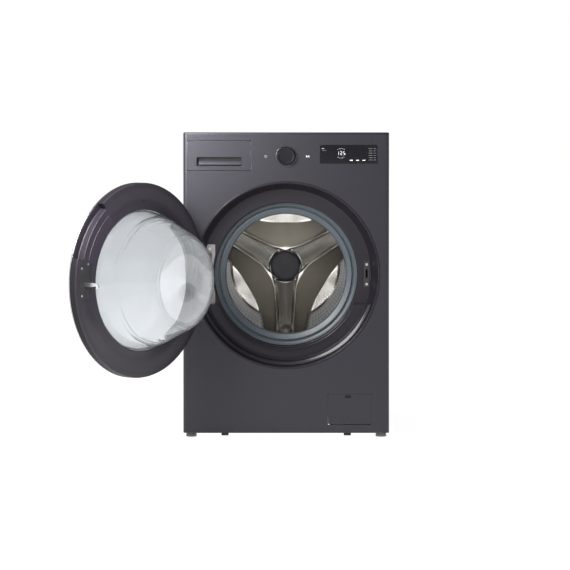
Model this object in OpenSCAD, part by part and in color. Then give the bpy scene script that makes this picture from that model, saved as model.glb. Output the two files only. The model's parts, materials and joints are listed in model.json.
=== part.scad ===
// Front load washing machine with its door open, at full size in millimetres.
// +Z is up and the front faces -Y. The origin is on the floor, under the middle of the cabinet.

/* [Cabinet] */
// Width of the cabinet
cab_w = 686; // [684:1:700]
// Depth of the cabinet without the door
cab_d = 720; // [718:1:760]
// Height of the cabinet above its feet
cab_h = 1000; // [995:1:1030]
// Height of the gap under the cabinet
foot_h = 15; // [14:0.5:16]
// Thickness of the sheet steel
sheet = 1.5; // [1:0.1:1.6]
// Thickness of the top panel
top_t = 7; // [6:1:10]

/* [Door] */
// Height of the centre of the door and drum above the floor
door_z = 540; // [535:1:545]
// Angle that the door stands open at
door_open = 127; // [0:1:127]
// Outer radius of the door
door_r = 310; // [308:0.5:310.5]
// Distance of the hinge pin to the left of the door's centre
hinge_off = 292.5; // [292:0.5:293]
// Distance of the hinge pin in front of the cabinet
hinge_front = 21; // [21:0.5:22]
// Radius of the hinge pin
pin_r = 4; // [3:0.5:4]
// Radius at which the latch hook works
latch_r = 270; // [268:1:272]

/* [Drum] */
// Inner radius of the drum
drum_r = 280; // [276:1:282]
// Inner radius of the tub
tub_r = 300; // [299:1:301]
// Radius of the drive shaft
shaft_r = 15; // [12:1:16]
// Number of lifters and spider arms
arms = 3; // [3:1:3]
// Number of clamp screws round the tub
clamp_screws = 12; // [8:1:16]

/* [Controls] */
// Width of the dispenser drawer's front
drawer_w = 210.8; // [205:0.2:212]
// Height of the dispenser drawer's front
drawer_h = 100; // [96:1:101]
// Radius of the programme dial
dial_r = 29.8; // [26:0.2:30.4]
// Width of the display window
display_w = 192.5; // [180:0.5:200]
// Height of the display window
display_h = 63; // [55:1:70]

/* [Hidden] */
$fn = 96;

// Clearance of a running fit, all round
run = 0.05;
// Clearance between neighbouring panels
gap = 0.5;

front = -cab_d / 2;
side = cab_w / 2;
top = foot_h + cab_h;
panel_top = top - top_t;

// Dispenser drawer
drawer_x = -223.3;
drawer_z = 938;
drawer_t = 26;

// Dispenser housing's sides, and the drawer's compartments: [left, right]
house_x0 = drawer_x - 108.2;
house_x1 = drawer_x + 108.3;
compartments = [[-319.5, -262], [-259.5, -194], [-191.5, -127.5]];

// Dial and display
dial_z = 936;
display_x = 208.3;
display_z = 941.5;

// Surround of the door opening
rim_r = 312;
slope_r = 305;
floor_r = 283.5;
floor_d = 50;
neck_r = 240.5;
wall = 2.5;

// Drain filter behind its cover
filter_x = 210.6;
filter_z = 92;
cover_w = 143;
cover_low = 45;
cover_high = 144.5;
cover_pin_z = 47.5;
cover_pin_d = 4.5;

// Tub, from the front plane backwards
tub_front_d = 105;
tub_joint_d = 330;
tub_back_d = 645;
flange_r = tub_r + 16;
screw_ring_r = tub_r + 10.5;

// Suspension
spring_x = 285;
spring_d = 362;
beam_z = 965;
ear_z = 700;
damper_x = 200;
damper_d = [290, 520];
lug_z = 296;

// Feet
foot_x = 317;
foot_y = 325;
stud_r = 6;

// Width of the flanges of the side panels
flange_w = 11;

// Bend of the front panel's upright edges, and the depth that its returns reach
edge_r = 12;
edge_d = 14;

// Water, drain and mains connections at the rear
valve_x = [-275, -225];
valve_z = 950;
valve_r = 13.2;
hose_x = 318;
hose_r = 12;
hose_d = 690;
hose_top_z = 888;
bend_r = 30;
gland_x = -280;
gland_z = 120;

// Holes of the rear panel
transit_x = [-250, 250];
transit_z = [380, 700];
panel_screw_x = [-213, 213];
panel_screw_z = [262, 510, 758];

// Height of the base frame's rim
pan_h = 25;

// Door parts, as depths from the front plane with the door closed
door_face_d = -3;
door_side_d = -30;

// Screws of the lock and of the hinge bracket
lock_screw_z = [door_z - 33, door_z + 33];
hinge_screw_x = -256;
hinge_screw_z = [door_z - 85, door_z - 35, door_z + 35, door_z + 85];

// Height of each outer knuckle of the hinge, and of its middle above and below the door's centre
knuckle_h = 26;
knuckle_z = 60;
knuckle_r = 7.5;

// Start of the handle recess above the free side, and its sweep
handle_start = 307;
handle_sweep = 38;

// Turned part on the axis of the door and drum: [radius, depth] points
module turned(profile, start = 0, sweep = 360)
    translate([0, front, door_z])
        rotate([-90, 0, 0])
            rotate([0, 0, start])
                rotate_extrude(angle = sweep) polygon(profile);

// Disc or tube on an axis along Y: from depth d0 to d1
module disc(x, z, d0, d1, r)
    translate([x, front + d0, z]) rotate([-90, 0, 0]) cylinder(h = d1 - d0, r = r);

// Block from low to high in x, depth and z
module block(x0, x1, d0, d1, z0, z1)
    translate([x0, front + d0, z0]) cube([x1 - x0, d1 - d0, z1 - z0]);

// Outline in x and depth, raised from z0 to z1
module prism(z0, z1, outline)
    translate([0, front, z0]) linear_extrude(z1 - z0) polygon(outline);

// Swings a door part, drawn closed, out to the door's open position
module on_door()
    translate([-hinge_off, front - hinge_front, 0])
        rotate([0, 0, -door_open])
            translate([hinge_off, -front + hinge_front, 0]) children();

// Bend of the front panel at side s, as an [x, depth] path, t inside its outer face
function bend(s, t) =
    [for (a = [0:10:90]) [s * (side - edge_r + (edge_r - t) * cos(a)), edge_r - (edge_r - t) * sin(a)]];

// The path backwards
function reversed(path) = [for (i = [len(path) - 1:-1:0]) path[i]];

// Copies at both sides
module both_sides() for (s = [-1, 1]) scale([s, 1, 1]) children();

// Side panel at the right: s = 1, or at the left: s = -1
module side_panel(s)
    color("dimgray")
    scale([s, 1, 1]) {
        block(side - sheet, side, edge_d + gap, cab_d, foot_h, panel_top);
        block(side - flange_w, side - sheet / 2, edge_d + gap, edge_d + gap + sheet, foot_h, panel_top);
        block(side - flange_w, side - sheet / 2, cab_d - 2 * sheet - gap, cab_d - sheet - gap,
            foot_h + pan_h + gap, panel_top);
    }

module side_panel_left() side_panel(-1);
module side_panel_right() side_panel(1);

module rear_panel()
    color("dimgray")
    difference() {
        block(-side + sheet + run, side - sheet - run, cab_d - sheet, cab_d, foot_h, panel_top);
        block(-205, 205, cab_d - 10, cab_d + 10, 255, 765);
        for (x = valve_x) disc(x, valve_z, cab_d - 10, cab_d + 10, valve_r + gap);
        disc(hose_x, hose_top_z, cab_d - 10, cab_d + 10, hose_r + gap);
        disc(gland_x, gland_z, cab_d - 10, cab_d + 10, 8.2);
        for (x = transit_x, z = transit_z) disc(x, z, cab_d - 10, cab_d + 10, 14);
        for (x = panel_screw_x, z = panel_screw_z) disc(x, z, cab_d - 10, cab_d + 10, 2.1);
    }

module rear_access_panel()
    color("dimgray")
    difference() {
        union() {
            block(-222, 222, cab_d + 0.05, cab_d + 1.25, 245, 775);
            disc(0, door_z, cab_d + 1.2, cab_d + 5, 150);
        }
        disc(0, door_z, cab_d, cab_d + 3.8, 148.8);
        for (x = panel_screw_x, z = panel_screw_z) disc(x, z, cab_d - 1, cab_d + 3, 2.1);
    }

module rear_panel_screws()
    color("silver")
    for (x = panel_screw_x, z = panel_screw_z) {
        disc(x, z, cab_d + 1.3, cab_d + 3.5, 4.5);
        disc(x, z, cab_d - 8, cab_d + 1.4, 2);
    }

module top_panel()
    color("dimgray")
    difference() {
        prism(panel_top, top, concat([[side, cab_d]], bend(1, 0), reversed(bend(-1, 0)), [[-side, cab_d]]));
        block(-side + 4, side - 4, 8, cab_d - 4, panel_top - 1, top - 2.5);
    }

module spring_beam()
    color("lightgray")
    difference() {
        block(-side + sheet + 0.3, side - sheet - 0.3, spring_d - 17, spring_d + 18, beam_z, beam_z + 34);
        block(-side, side, spring_d - 15.5, spring_d + 16.5, beam_z + 1.5, beam_z + 32.5);
    }

module base_frame()
    color("dimgray")
    difference() {
        union() {
            difference() {
                block(-side + 1.8, side - 1.8, edge_d + 2.5, cab_d - 1.8, foot_h, foot_h + pan_h);
                block(-side + 3.4, side - 3.4, edge_d + 4, cab_d - 3.4, foot_h + 1.5, foot_h + pan_h + 1);
            }
            for (x = [-foot_x, foot_x], y = [-foot_y, foot_y])
                translate([x, y, foot_h]) cylinder(h = pan_h, r = 11);
        }
        translate([-150, -200, foot_h - 1]) cube([300, 400, 10]);
        for (x = [-foot_x, foot_x], y = [-foot_y, foot_y])
            translate([x, y, foot_h - 1]) cylinder(h = pan_h + 2, r = stud_r + run);
    }

module front_panel()
    color("dimgray")
    difference() {
        union() {
            prism(foot_h, panel_top - 0.2, concat(
                [[side, edge_d]], bend(1, 0), reversed(bend(-1, 0)),
                [[-side, edge_d], [-side + sheet, edge_d]],
                bend(-1, sheet), reversed(bend(1, sheet)), [[side - sheet, edge_d]]
            ));
            for (s = [-1, 1])
                translate([filter_x + s * 75 - 1.5, front + sheet - 0.1, cover_pin_z - 7.5]) cube([3, 7.6, 15]);
        }
        disc(0, door_z, -1, 5, slope_r + gap);
        block(drawer_x - drawer_w / 2 - gap, drawer_x + drawer_w / 2 + gap, -1, 5,
            drawer_z - drawer_h / 2 - gap, drawer_z + drawer_h / 2 + gap);
        block(display_x - display_w / 2 - 0.2, display_x + display_w / 2 + 0.2, -1, 5,
            display_z - display_h / 2 - 0.2, display_z + display_h / 2 + 0.2);
        disc(0, dial_z, -1, 5, 12);
        block(filter_x - cover_w / 2 - 1, filter_x + cover_w / 2 + 1, -1, 2, cover_low - 2, cover_high + 1);
        translate([filter_x - 90, front + cover_pin_d, cover_pin_z])
            rotate([0, 90, 0]) cylinder(h = 180, r = 1.56);
    }

module door_surround()
    color("#222228")
    difference() {
        turned([
            [rim_r, -0.05], [rim_r, -1.2], [310.5, -2], [307.5, -2], [slope_r - 0.2, 0.5],
            [289, 38], [287.3, 42], [286, 46.5], [285, 49], [floor_r, floor_d],
            [neck_r + 3, floor_d], [neck_r + 0.6, floor_d + 0.8], [neck_r, floor_d + 3],
            [neck_r, floor_d + 22], [neck_r + wall, floor_d + 22], [neck_r + wall, floor_d + wall + 1],
            [neck_r + 4, floor_d + wall], [floor_r + 1.2, floor_d + wall], [288.2, 50.5], [290.2, 43],
            [slope_r, 5], [slope_r, -0.05]
        ]);
        block(latch_r - 7.5, latch_r + 7.5, 40, 60, door_z - 29, door_z + 29);
        for (z = lock_screw_z) disc(latch_r, z, 40, 60, 2.1);
        for (z = hinge_screw_z) disc(hinge_screw_x, z, 40, 60, 2.1);
    }

module surround_lower_trim()
    color("#2c2830")
    intersection() {
        turned([
            [246, 49.9], [282.5, 49.9], [285.6, 43.5], [288.3, 38.6], [300.4, 9.9], [299.6, 8.2],
            [297.4, 8.2], [293, 12.5], [290, 19], [287.8, 28], [285.5, 33], [277, 34.5], [262, 35],
            [249, 35.6], [246, 38]
        ]);
        block(-310, 310, 0, 60, door_z - 310, door_z - 100);
    }

module door_lock()
    color("#101012")
    difference() {
        union() {
            block(latch_r - 9, latch_r + 9, 47.5, 49.9, door_z - 43, door_z + 43);
            block(latch_r - 7, latch_r + 7, 49, 53, door_z - 28, door_z + 28);
            block(latch_r - 20, latch_r + 20, 52.6, 92, door_z - 45, door_z + 45);
        }
        block(latch_r - 3.5, latch_r + 3.5, 40, 84, door_z - 11, door_z + 17);
        for (z = lock_screw_z) disc(latch_r, z, 40, 66, 2.1);
    }

module surround_screws()
    color("silver") {
        for (z = lock_screw_z) {
            disc(latch_r, z, 45.2, 47.4, 4.5);
            disc(latch_r, z, 46, 64, 2);
        }
        for (z = hinge_screw_z) {
            disc(hinge_screw_x, z, 43.6, 45.8, 5);
            disc(hinge_screw_x, z, 44, 60, 2);
        }
    }

module hinge_bracket()
    color("silver") {
        difference() {
            union() {
                intersection() {
                    turned([[246, 45.9], [floor_r - 2, 45.9], [floor_r - 2, 49.9], [246, 49.9]]);
                    block(-280, -238, 40, 60, door_z - 100, door_z + 100);
                }
                for (z = [door_z - knuckle_z, door_z + knuckle_z])
                    prism(z - knuckle_h / 2, z + knuckle_h / 2, [
                        [-268, 46.5], [-248, 46.5], [-268, 8], [6 - hinge_off, 6 - hinge_front],
                        [-3 - hinge_off, 6 - hinge_front], [-281, 14]
                    ]);
            }
            for (z = hinge_screw_z) disc(hinge_screw_x, z, 40, 60, 2.1);
        }
        translate([-hinge_off, front - hinge_front, door_z]) {
            for (z = [-knuckle_z, knuckle_z])
                translate([0, 0, z - knuckle_h / 2]) cylinder(h = knuckle_h, r = knuckle_r);
            translate([0, 0, -knuckle_z - 16]) cylinder(h = 2 * knuckle_z + 32, r = pin_r);
            translate([0, 0, knuckle_z + knuckle_h / 2 - 0.5]) cylinder(h = 4, r = 6.5);
        }
    }

module control_board()
    color("#27432f")
    difference() {
        block(-96, 325, 4, 30, 896, 986);
        block(-93, 322, 6, 31, 899, 983);
        disc(0, dial_z, 3, 8, 5.6);
    }

module display_window()
    color("#0b0c10")
    block(display_x - display_w / 2, display_x + display_w / 2, -0.3, 1.9,
        display_z - display_h / 2, display_z + display_h / 2);

module dial_bezel()
    color("silver")
    difference() {
        disc(0, dial_z, -2.6, -0.05, 34.4);
        disc(0, dial_z, -5, 5, 31);
    }

module dispenser_housing()
    color("gainsboro")
    difference() {
        union() {
            block(house_x0, house_x1, 2, 338, 884, 994);
            translate([drawer_x, front + 300, 866]) cylinder(h = 20, r = 16);
        }
        block(house_x0 + wall, house_x1 - wall, 1, 335.5, 886.5, 991.5);
        translate([drawer_x, front + 300, 860]) cylinder(h = 30, r = 13);
        disc(-250, valve_z, 330, 340, 6);
    }

module inlet_valves()
    color("white")
    difference() {
        union() {
            block(-296, -204, 645, 700, 928, 972);
            for (x = valve_x) {
                disc(x, valve_z, 690, cab_d + 15.5, valve_r);
                disc(x, valve_z, cab_d + 0.1, cab_d + 1.5, 17);
                disc(x, valve_z, 690, cab_d - 3, 18);
            }
            for (x = valve_x) translate([x, front + 670, 970]) cylinder(h = 22, r = 14);
        }
        for (x = valve_x) disc(x, valve_z, cab_d - 8, cab_d + 20, 8);
    }

module fill_hose()
    color("#3a3a3c")
    difference() {
        disc(-250, valve_z, 338.3, 644.7, 9);
        disc(-250, valve_z, 330, 650, 6);
    }

module drain_pump()
    color("#d8d8d4")
    difference() {
        union() {
            disc(filter_x, filter_z, 20, 166, 37);
            disc(filter_x, filter_z, 12, 17, 45);
            disc(filter_x, filter_z, 12, 25, 37);
            disc(filter_x, filter_z, 165, 195, 39);
            disc(filter_x, filter_z, 194, 250, 28);
            translate([filter_x, front + 135, filter_z]) cylinder(h = 60, r = 19);
            translate([filter_x, front + 180, filter_z]) rotate([0, 90, 0]) cylinder(h = 58, r = 9);
        }
        disc(filter_x, filter_z, 0, 162, 33);
        translate([filter_x, front + 135, filter_z]) cylinder(h = 70, r = 16);
    }

// Quarter bend of the inner drain hose
module hose_bend(r) rotate_extrude(angle = 90) translate([r, 0]) circle(r = hose_r);

module drain_hose_inner()
    color("#c9c9c6") {
        difference() {
            translate([filter_x + 45, front + 180, filter_z]) rotate([0, 90, 0])
                cylinder(h = hose_x - bend_r - filter_x - 45, r = hose_r);
            translate([filter_x + 44, front + 180, filter_z]) rotate([0, 90, 0])
                cylinder(h = 16, r = 9 + run);
        }
        translate([hose_x - bend_r, front + 180 + bend_r, filter_z]) rotate([0, 0, -90]) hose_bend(bend_r);
        disc(hose_x, filter_z, 180 + bend_r, hose_d - bend_r, hose_r);
        translate([hose_x, front + hose_d - bend_r, filter_z + bend_r])
            rotate([0, 90, 0]) hose_bend(bend_r);
        translate([hose_x, front + hose_d, filter_z + bend_r])
            cylinder(h = hose_top_z - 18 - filter_z - bend_r, r = hose_r);
        translate([hose_x, front + hose_d + 18, hose_top_z - 18])
            rotate([0, -90, 180]) rotate([0, 0, 90]) hose_bend(18);
        difference() {
            union() {
                disc(hose_x, hose_top_z, hose_d + 18, cab_d + 22, hose_r);
                disc(hose_x, hose_top_z, cab_d + 0.1, cab_d + 2, 16);
            }
            disc(hose_x, hose_top_z, cab_d, cab_d + 23, 9);
        }
    }

module power_gland()
    color("#101012")
    difference() {
        union() {
            disc(gland_x, gland_z, cab_d - 6, cab_d + 8, 8);
            disc(gland_x, gland_z, cab_d + 0.1, cab_d + 3, 12);
            disc(gland_x, gland_z, cab_d - 6, cab_d - 1.8, 11);
        }
        disc(gland_x, gland_z, cab_d - 10, cab_d + 10, 4.2);
    }

module foot_locknuts()
    color("silver")
    for (x = [-foot_x, foot_x], y = [-foot_y, foot_y])
        translate([x, y, 10.6]) difference() {
            cylinder(h = 4, r = 10.9, $fn = 6);
            translate([0, 0, -1]) cylinder(h = 6, r = stud_r + run);
        }

module base_bumpers()
    color("#101012")
    both_sides() block(192.5, 215.5, 8, 48, 6, foot_h - 0.05);

module transit_hole_caps()
    color("#2a2a2c")
    for (x = transit_x, z = transit_z) {
        disc(x, z, cab_d + 0.1, cab_d + 3, 17);
        disc(x, z, cab_d - 6, cab_d + 0.5, 13.8);
    }

module damper_cylinders()
    color("#2a2a2c")
    for (x = [-damper_x, damper_x], d = damper_d)
        translate([x, front + d, foot_h + 1.6]) difference() {
            union() {
                cylinder(h = 155, r = 16);
                translate([-20, -14, 0]) cube([40, 28, 12]);
            }
            translate([0, 0, 14]) cylinder(h = 150, r = 12.1);
        }

// Points of a coil spring's wire: turns of radius r from height z0 to z1
function coil(r, z0, z1, turns, steps) =
    [for (i = [0:turns * steps]) let (a = 360 * i / steps, t = i / (turns * steps))
        [r * cos(a), r * sin(a), z0 + (z1 - z0) * t]];

// Ring of the wire's section at one point of the coil
function wire_ring(p, wire, sides) =
    [for (k = [0:sides - 1]) let (b = 360 * k / sides, n = norm([p.x, p.y]), u = [p.x, p.y, 0] / n)
        p + u * wire * cos(b) + [0, 0, wire * sin(b)]];

module spring_wire(path, wire, sides) {
    rings = len(path);
    polyhedron(
        points = [for (p = path) each wire_ring(p, wire, sides)],
        faces = concat(
            [[for (k = [sides - 1:-1:0]) k]],
            [for (i = [0:rings - 2], k = [0:sides - 1])
                let (a = i * sides + k, b = i * sides + (k + 1) % sides)
                    each [[a, b, b + sides], [a, b + sides, a + sides]]],
            [[for (k = [0:sides - 1]) (rings - 1) * sides + k]]
        )
    );
}

module suspension_springs()
    color("silver")
    for (x = [-spring_x, spring_x]) translate([x, front + spring_d, 0]) {
        spring_wire(coil(15, 724, 940, 10, 10), 2.2, 5);
        translate([0, 0, 937]) cylinder(h = beam_z - 937 - 0.1, r = 2.4);
        translate([0, 0, ear_z + 0.1]) cylinder(h = 27, r = 2.4);
        translate([0, -2.4, 937]) cube([16, 4.8, 5]);
        translate([0, -2.4, 722]) cube([16, 4.8, 5]);
    }

module foot(x, y)
    color("silver")
    translate([x, y, 0]) {
        cylinder(h = 8, r = 18);
        translate([0, 0, 8]) cylinder(h = 2.4, r1 = 18, r2 = 9);
        cylinder(h = 52, r = stud_r);
    }

module foot_front_left() foot(-foot_x, -foot_y);
module foot_front_right() foot(foot_x, -foot_y);
module foot_rear_left() foot(-foot_x, foot_y);
module foot_rear_right() foot(foot_x, foot_y);

// Holes for the screws that clamp the tub's halves
module clamp_holes(r)
    for (i = [0:clamp_screws - 1]) let (a = (i + 0.5) * 360 / clamp_screws)
        disc(screw_ring_r * cos(a), door_z + screw_ring_r * sin(a), 300, 360, r);

module damper_lug(x, d) block(x - 14, x + 14, d - 14, d + 14, lug_z, lug_z + 60);

module front_tub()
    color("white")
    difference() {
        union() {
            turned([
                [228, 92], [232, 92], [232, tub_front_d], [tub_r + 2, tub_front_d],
                [tub_r + 5, tub_front_d + 3], [tub_r + 5, tub_joint_d - 8], [flange_r, tub_joint_d - 8],
                [flange_r, tub_joint_d], [tub_r, tub_joint_d], [tub_r, tub_front_d + 5],
                [228, tub_front_d + 5]
            ]);
            difference() {
                union() {
                    both_sides() damper_lug(damper_x, damper_d[0]);
                    translate([filter_x, front + 135, 288]) cylinder(h = 60, r = 19);
                }
                disc(0, door_z, 0, 700, tub_r + 2);
            }
        }
        translate([filter_x, front + 135, 280]) cylinder(h = 60, r = 16);
        clamp_holes(2.6);
    }

module rear_tub()
    color("white")
    difference() {
        union() {
            turned([
                [flange_r, tub_joint_d + 0.2], [flange_r, tub_joint_d + 8], [tub_r + 5, tub_joint_d + 8],
                [tub_r + 5, tub_back_d + 4], [tub_r + 1, tub_back_d + 8], [44, tub_back_d + 8],
                [44, 692], [31, 692], [31, 636], [44, 636], [48, tub_back_d], [tub_r, tub_back_d],
                [tub_r, tub_joint_d + 0.2]
            ]);
            for (i = [0:11])
                translate([0, front + tub_back_d + 7.5, door_z]) rotate([-90, 0, 0]) rotate([0, 0, 15 + i * 30])
                    translate([43.5, -2.5, 0]) cube([250, 5, 12]);
            difference() {
                union() {
                    both_sides() damper_lug(damper_x, damper_d[1]);
                    both_sides() block(spring_x - 13, spring_x + 13, spring_d - 12, spring_d + 12, 610, ear_z);
                }
                disc(0, door_z, 0, 700, tub_r + 2);
            }
        }
        clamp_holes(2.6);
    }

module tub_clamp_screws()
    color("silver")
    for (i = [0:clamp_screws - 1]) let (a = (i + 0.5) * 360 / clamp_screws) {
        disc(screw_ring_r * cos(a), door_z + screw_ring_r * sin(a), 317.5, tub_joint_d - 8.1, 4.4);
        disc(screw_ring_r * cos(a), door_z + screw_ring_r * sin(a), 320, 344, 2.5);
    }

module counterweights()
    color("gray")
    for (start = [202, 22])
        turned([[247, 78], [250, 74], [295, 74], [299, 78], [299, 104.8], [247, 104.8]], start, 136);

module door_gasket()
    color("slategray")
    turned([
        [240.2, 60], [240.2, 76], [237, 80], [237, 104], [232.2, 104], [232.2, 91.5], [229, 87],
        [214, 87], [209.5, 92], [208, 118], [203.5, 118], [201.5, 84], [204, 78], [214, 73],
        [221, 70], [223, 75], [226, 75], [228, 67], [234, 63.5], [236, 60]
    ]);

module sump_hose()
    color("#1c1c1e")
    difference() {
        translate([filter_x, front + 135, 131]) cylinder(h = 165, r = 23);
        translate([filter_x, front + 135, 130]) cylinder(h = 167, r = 19.2);
    }

module damper_rods()
    color("silver")
    for (x = [-damper_x, damper_x], d = damper_d) translate([x, front + d, 0]) {
        translate([0, 0, 100]) cylinder(h = lug_z - 100 - 0.1, r = 5);
        translate([0, 0, 100]) cylinder(h = 30, r = 11.9);
        translate([0, 0, lug_z - 8]) cylinder(h = 7.9, r = 11);
    }

module stator()
    color("#b8763a")
    translate([0, front + 668, door_z]) rotate([-90, 0, 0]) difference() {
        union() {
            cylinder(h = 22, r = 98);
            for (i = [0:23]) rotate([0, 0, i * 15]) translate([96, -6, 2]) cube([30, 12, 18]);
        }
        translate([0, 0, -1]) cylinder(h = 24, r = 45);
    }

module bearings()
    color("silver")
    for (d = [640, 674]) difference() {
        disc(0, door_z, d, d + 16, 31 - run);
        disc(0, door_z, d - 1, d + 17, shaft_r + run);
    }

module drum_shell()
    color("silver")
    turned([[drum_r, 127.5], [drum_r + 1.2, 127.5], [drum_r + 1.2, 600], [drum_r, 600]]);

module drum_back()
    color("silver")
    union() {
        turned([
            [0, 572], [56, 572], [64, 580], [150, 596], [214, 602], [224, 602], [268, 588], [279.9, 582],
            [279.9, 600], [278.6, 600], [278.6, 586], [268, 590.5], [224, 604.5], [150, 598.5],
            [62, 582.5], [54, 574.5], [0, 574.5]
        ]);
        difference() {
            for (i = [0:arms - 1])
                translate([0, front + 574, door_z]) rotate([-90, 0, 0]) rotate([0, 0, 90 + i * 360 / arms])
                    translate([50, 0, 0]) linear_extrude(22) polygon([[0, -36], [200, -24], [200, 24], [0, 36]]);
            turned([[0, 574.4], [54, 574.4], [62, 582.4], [150, 598.4], [250, 604], [250, 640], [0, 640]]);
        }
    }

module drum_front_ring()
    color("silver")
    turned([
        [212, 127], [214, 122.5], [224, 120.8], [drum_r - 4, 120.8], [drum_r + 2.8, 127],
        [drum_r + 2.8, 136], [drum_r + 1.4, 136], [drum_r + 1.4, 127.3], [drum_r - 4.6, 122.3],
        [225, 122.3], [215.4, 123.8], [213.5, 127.6], [213.8, 131], [212.4, 131]
    ]);

module drum_lifters()
    color("silver")
    for (i = [0:arms - 1])
        translate([0, front + 150, door_z]) rotate([-90, 0, 0]) rotate([0, 0, 90 + i * 360 / arms])
            linear_extrude(412) intersection() {
                circle(r = drum_r - 0.05);
                polygon([[222, -15], [228, -19], [290, -40], [290, 40], [228, 19], [222, 15]]);
            }

module drum_spider()
    color("darkgray")
    difference() {
        union() {
            disc(0, door_z, 606, 633, 46);
            for (i = [0:arms - 1])
                translate([0, front + 607, door_z]) rotate([-90, 0, 0]) rotate([0, 0, 90 + i * 360 / arms])
                    linear_extrude(18) polygon([[30, -30], [276, -16], [276, 16], [30, 30]]);
        }
        disc(0, door_z, 600, 640, shaft_r + run);
    }

module drive_shaft()
    color("silver") {
        disc(0, door_z, 606, 708, shaft_r);
        disc(0, door_z, 701.2, 709, 19);
    }

module hub_cap()
    color("#34343c")
    turned([[0, 556], [48, 556], [54, 560], [55, 571.8], [0, 571.8]]);

module rotor()
    color("darkgray")
    turned([
        [shaft_r + run, 694], [32, 694], [32, 698], [136, 698], [136, 668], [145, 668], [145, 697],
        [142, 701], [shaft_r + run, 701]
    ]);

// Cuts at the hinge side, where the bracket's knuckles reach into the door
module knuckle_room()
    for (z = [door_z - knuckle_z, door_z + knuckle_z])
        block(-door_r - 5, -262, door_side_d - 1, 2, z - knuckle_h / 2 - 4, z + knuckle_h / 2 + 4);

module door_inner_frame()
    color("#3a3840")
    on_door() difference() {
        union() {
            difference() {
                turned([
                    [223.5, -1.6], [229, -1.6], [231, door_face_d], [door_r - 5, door_face_d],
                    [door_r, door_face_d - 5], [door_r, door_side_d], [door_r - wall, door_side_d],
                    [door_r - wall, -9], [door_r - 6, -5.5], [226.5, -5.5], [226.5, -5.6], [223.5, -5.6]
                ]);
                turned([[288, 2], [320, 2], [320, -27], [288, -27]], handle_start, handle_sweep);
            }
            turned([
                [288.1, -3.6], [288.1, -25.5], [door_r, -25.5], [door_r, door_side_d], [285.6, door_side_d],
                [285.6, -3.6]
            ], handle_start, handle_sweep);
            for (x = [latch_r - 9, latch_r + 5]) block(x, x + 4, -24, -5, door_z - 12, door_z + 12);
            translate([latch_r - 8, front - 15, door_z]) rotate([0, 90, 0]) cylinder(h = 16, r = 2);
        }
        block(latch_r - 3.5, latch_r + 3.5, -9, 2, door_z - 10, door_z + 12);
        knuckle_room();
        block(-8, 8, -4.5, 2, door_z + 248, door_z + 256);
    }

module door_outer_frame()
    color("silver")
    on_door() turned([
        [door_r, door_side_d - 0.1], [door_r, -33.5], [door_r - 3, -37], [300, -39.5], [288, -41.5],
        [266, -43.5], [262, -43.5], [262, -40.5], [266, -40.5], [287, -38.5], [298, -36.6],
        [303, -34.5], [304.5, -32], [304.5, door_side_d - 0.1]
    ]);

module door_outer_glass()
    color("#50586080")
    on_door() turned([
        [0, -49], [100, -48.2], [180, -46.5], [240, -44.6], [261.6, -43.4], [261.6, -40], [240, -41.2],
        [180, -43.2], [100, -44.9], [0, -45.7]
    ]);

module door_glass_bowl()
    color("#d8e4ea80")
    on_door() turned([
        [240, -10], [240, -5.8], [222.8, -5.8], [217, 12], [208, 38], [198, 62], [192.5, 74], [190, 80],
        [183, 92], [170, 124], [156, 154], [149, 165], [140, 171], [126, 174], [0, 174],
        [0, 169.5], [124, 169.5], [137, 166.8], [144.5, 161.5], [151, 151.5], [165, 122], [178, 90],
        [185.5, 77], [187.8, 72], [193, 60], [203, 36], [212, 10], [217, -6.5], [217, -10]
    ]);

module door_hinge_leaf()
    color("silver")
    on_door() difference() {
        union() {
            translate([-hinge_off, front - hinge_front, door_z - 44]) cylinder(h = 88, r = knuckle_r);
            block(-hinge_off, -240, -24, -18, door_z - 38, door_z + 38);
            for (s = [-1, 1]) block(-265, -243, -19, -5.7, door_z + s * 26 - 9, door_z + s * 26 + 9);
        }
        translate([-hinge_off, front - hinge_front, door_z - 50]) cylinder(h = 100, r = pin_r + run);
    }

module latch_hook()
    color("silver")
    on_door() difference() {
        translate([latch_r - 2, front, door_z]) rotate([90, 0, 90]) linear_extrude(4) polygon([
            [-21, -6], [-19, 6], [36, 6], [48, 4], [53, -1], [54, -9], [46, -10], [44, -3], [36, -4],
            [26, -6]
        ]);
        translate([latch_r - 8, front - 15, door_z]) rotate([0, 90, 0]) cylinder(h = 16, r = 2 + run);
    }

module drawer_front()
    color("dimgray")
    union() {
        difference() {
            block(drawer_x - drawer_w / 2, drawer_x + drawer_w / 2, 0, drawer_t,
                drawer_z - drawer_h / 2, drawer_z + drawer_h / 2);
            block(drawer_x - 74.5, drawer_x + 74.5, -1, 21, 903.2, 931.9);
            block(drawer_x - 74.5, drawer_x + 74.5, 6, 21, 931, 942);
        }
        prism(911, 923, [[drawer_x - 74.6, 21.5], [drawer_x + 74.6, 21.5], [drawer_x + 74.6, 11],
            [drawer_x - 74.6, 11]]);
    }

module drawer_tray()
    color("gainsboro")
    difference() {
        block(-322, -125, drawer_t + 0.1, 320, 893, 960);
        for (c = compartments) block(c[0], c[1], drawer_t + 3, 317.5, 895.5, 961);
    }

module dial_knob()
    color("#202228") {
        translate([0, front, dial_z]) rotate([-90, 0, 0]) rotate_extrude() polygon([
            [0, -15.4], [24.5, -15.4], [26, -16.4], [27.6, -16.4], [dial_r - 0.6, -15], [dial_r, -13],
            [dial_r, -1], [0, -1]
        ]);
        disc(0, dial_z, -2, 5.8, 5);
    }

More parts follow.
